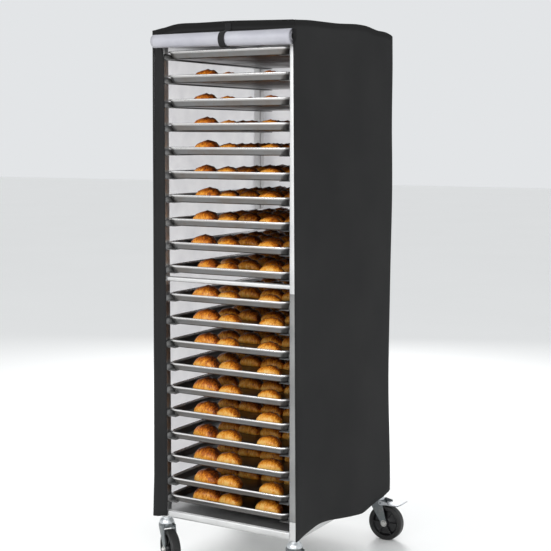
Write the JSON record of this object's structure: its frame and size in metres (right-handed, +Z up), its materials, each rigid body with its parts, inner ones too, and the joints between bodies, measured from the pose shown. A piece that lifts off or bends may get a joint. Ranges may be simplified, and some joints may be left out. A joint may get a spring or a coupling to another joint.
{
  "type": "sheet pan rack",
  "caption": "Upright square-tube rack on swivel casters with angle runners for slide-out sheet pans, under a loose fabric cover with its front flap rolled up.",
  "frame": {"origin": "on the floor, at the middle of the rack's footprint", "axes": "+Z up, -Y towards the front that the pans slide out of, +X to the right along the front"},
  "size_m": [0.697, 0.7393, 1.7656],
  "materials": {
    "rack_aluminium": "satin drawn square tube and angle",
    "plug_steel": "plain, hidden inside the tubes",
    "shelf_sheet": "dull rolled sheet",
    "zinc_steel": "bright zinc plate",
    "bolt_steel": "bright zinc plate",
    "black_rubber": "matte black",
    "black_plastic": "satin black",
    "pan_aluminium": "bright sheet, browned and scuffed by baking",
    "black_fabric": "woven polyester, matte charcoal black",
    "black_webbing": "ribbed webbing",
    "silver_lining": "silver coated lining of the cover, low sheen"
  },
  "bodies": {
    "rack": {"base_frame": "rack_aluminium", "base_shelf": "shelf_sheet", "mid_bars": "rack_aluminium", "top_frame": "rack_aluminium", "post_plugs": "plug_steel", "runners_left": "rack_aluminium", "runners_right": "rack_aluminium", "post_front_left": "rack_aluminium", "post_front_right": "rack_aluminium", "post_back_left": "rack_aluminium", "post_back_right": "rack_aluminium", "caster_stem_front_left": "zinc_steel", "caster_stem_front_right": "zinc_steel", "caster_stem_back_left": "zinc_steel", "caster_stem_back_right": "zinc_steel"},
    "cover": {"cover": "black_fabric", "flap_roll": "silver_lining", "flap_strap": "black_webbing"},
    "pan_01": {"pan_01": "pan_aluminium"},
    "pan_02": {"pan_02": "pan_aluminium"},
    "pan_03": {"pan_03": "pan_aluminium"},
    "pan_04": {"pan_04": "pan_aluminium"},
    "pan_05": {"pan_05": "pan_aluminium"},
    "pan_06": {"pan_06": "pan_aluminium"},
    "pan_07": {"pan_07": "pan_aluminium"},
    "pan_08": {"pan_08": "pan_aluminium"},
    "pan_09": {"pan_09": "pan_aluminium"},
    "pan_10": {"pan_10": "pan_aluminium"},
    "pan_11": {"pan_11": "pan_aluminium"},
    "pan_12": {"pan_12": "pan_aluminium"},
    "pan_13": {"pan_13": "pan_aluminium"},
    "pan_14": {"pan_14": "pan_aluminium"},
    "pan_15": {"pan_15": "pan_aluminium"},
    "pan_16": {"pan_16": "pan_aluminium"},
    "pan_17": {"pan_17": "pan_aluminium"},
    "pan_18": {"pan_18": "pan_aluminium"},
    "pan_19": {"pan_19": "pan_aluminium"},
    "pan_20": {"pan_20": "pan_aluminium"},
    "caster_front_left": {"caster_fork_front_left": "zinc_steel", "axle_front_left": "bolt_steel"},
    "wheel_front_left": {"tyre_front_left": "black_rubber", "hub_front_left": "black_plastic"},
    "caster_front_right": {"caster_fork_front_right": "zinc_steel", "axle_front_right": "bolt_steel"},
    "wheel_front_right": {"tyre_front_right": "black_rubber", "hub_front_right": "black_plastic"},
    "caster_back_left": {"caster_fork_back_left": "zinc_steel", "axle_back_left": "bolt_steel"},
    "wheel_back_left": {"tyre_back_left": "black_rubber", "hub_back_left": "black_plastic"},
    "caster_back_right": {"caster_fork_back_right": "zinc_steel", "axle_back_right": "bolt_steel"},
    "wheel_back_right": {"tyre_back_right": "black_rubber", "hub_back_right": "black_plastic"},
    "pedal_back_left": {"brake_pedal_back_left": "zinc_steel"},
    "pedal_back_right": {"brake_pedal_back_right": "zinc_steel"}
  },
  "joints": [
    {"name": "cover_lift", "type": "slide", "parent": "rack", "child": "cover", "axis": [0, 0, 1], "range_m": [0, 1.64]},
    {"name": "pan_01_slide", "type": "slide", "parent": "rack", "child": "pan_01", "axis": [0, -1, 0], "range_m": [0, 0.45]},
    {"name": "pan_02_slide", "type": "slide", "parent": "rack", "child": "pan_02", "axis": [0, -1, 0], "range_m": [0, 0.45]},
    {"name": "pan_03_slide", "type": "slide", "parent": "rack", "child": "pan_03", "axis": [0, -1, 0], "range_m": [0, 0.45]},
    {"name": "pan_04_slide", "type": "slide", "parent": "rack", "child": "pan_04", "axis": [0, -1, 0], "range_m": [0, 0.45]},
    {"name": "pan_05_slide", "type": "slide", "parent": "rack", "child": "pan_05", "axis": [0, -1, 0], "range_m": [0, 0.45]},
    {"name": "pan_06_slide", "type": "slide", "parent": "rack", "child": "pan_06", "axis": [0, -1, 0], "range_m": [0, 0.45]},
    {"name": "pan_07_slide", "type": "slide", "parent": "rack", "child": "pan_07", "axis": [0, -1, 0], "range_m": [0, 0.45]},
    {"name": "pan_08_slide", "type": "slide", "parent": "rack", "child": "pan_08", "axis": [0, -1, 0], "range_m": [0, 0.45]},
    {"name": "pan_09_slide", "type": "slide", "parent": "rack", "child": "pan_09", "axis": [0, -1, 0], "range_m": [0, 0.45]},
    {"name": "pan_10_slide", "type": "slide", "parent": "rack", "child": "pan_10", "axis": [0, -1, 0], "range_m": [0, 0.45]},
    {"name": "pan_11_slide", "type": "slide", "parent": "rack", "child": "pan_11", "axis": [0, -1, 0], "range_m": [0, 0.45]},
    {"name": "pan_12_slide", "type": "slide", "parent": "rack", "child": "pan_12", "axis": [0, -1, 0], "range_m": [0, 0.45]},
    {"name": "pan_13_slide", "type": "slide", "parent": "rack", "child": "pan_13", "axis": [0, -1, 0], "range_m": [0, 0.45]},
    {"name": "pan_14_slide", "type": "slide", "parent": "rack", "child": "pan_14", "axis": [0, -1, 0], "range_m": [0, 0.45]},
    {"name": "pan_15_slide", "type": "slide", "parent": "rack", "child": "pan_15", "axis": [0, -1, 0], "range_m": [0, 0.45]},
    {"name": "pan_16_slide", "type": "slide", "parent": "rack", "child": "pan_16", "axis": [0, -1, 0], "range_m": [0, 0.45]},
    {"name": "pan_17_slide", "type": "slide", "parent": "rack", "child": "pan_17", "axis": [0, -1, 0], "range_m": [0, 0.45]},
    {"name": "pan_18_slide", "type": "slide", "parent": "rack", "child": "pan_18", "axis": [0, -1, 0], "range_m": [0, 0.45]},
    {"name": "pan_19_slide", "type": "slide", "parent": "rack", "child": "pan_19", "axis": [0, -1, 0], "range_m": [0, 0.45]},
    {"name": "pan_20_slide", "type": "slide", "parent": "rack", "child": "pan_20", "axis": [0, -1, 0], "range_m": [0, 0.45]},
    {"name": "swivel_front_left", "type": "hinge", "parent": "rack", "child": "caster_front_left", "pos_m": [-0.2445, -0.2975, 0.141], "axis": [0, 0, 1], "continuous": true},
    {"name": "roll_front_left", "type": "hinge", "parent": "caster_front_left", "child": "wheel_front_left", "pos_m": [-0.21583, -0.31757, 0.0625], "axis": [0.5736, 0.8192, 0], "continuous": true},
    {"name": "swivel_front_right", "type": "hinge", "parent": "rack", "child": "caster_front_right", "pos_m": [0.2445, -0.2975, 0.141], "axis": [0, 0, 1], "continuous": true},
    {"name": "roll_front_right", "type": "hinge", "parent": "caster_front_right", "child": "wheel_front_right", "pos_m": [0.27317, -0.31757, 0.0625], "axis": [0.5736, 0.8192, 0], "continuous": true},
    {"name": "swivel_back_left", "type": "hinge", "parent": "rack", "child": "caster_back_left", "pos_m": [-0.2445, 0.2975, 0.141], "axis": [0, 0, 1], "continuous": true},
    {"name": "roll_back_left", "type": "hinge", "parent": "caster_back_left", "child": "wheel_back_left", "pos_m": [-0.2795, 0.2975, 0.0625], "axis": [0, -1, 0], "continuous": true},
    {"name": "brake_back_left", "type": "hinge", "parent": "caster_back_left", "child": "pedal_back_left", "pos_m": [-0.267, 0.2975, 0.135], "axis": [0, -1, 0], "range_deg": [0, 8]},
    {"name": "swivel_back_right", "type": "hinge", "parent": "rack", "child": "caster_back_right", "pos_m": [0.2445, 0.2975, 0.141], "axis": [0, 0, 1], "continuous": true},
    {"name": "roll_back_right", "type": "hinge", "parent": "caster_back_right", "child": "wheel_back_right", "pos_m": [0.2795, 0.2975, 0.0625], "axis": [0, 1, 0], "continuous": true},
    {"name": "brake_back_right", "type": "hinge", "parent": "caster_back_right", "child": "pedal_back_right", "pos_m": [0.267, 0.2975, 0.135], "axis": [0, 1, 0], "range_deg": [0, 8]}
  ]
}
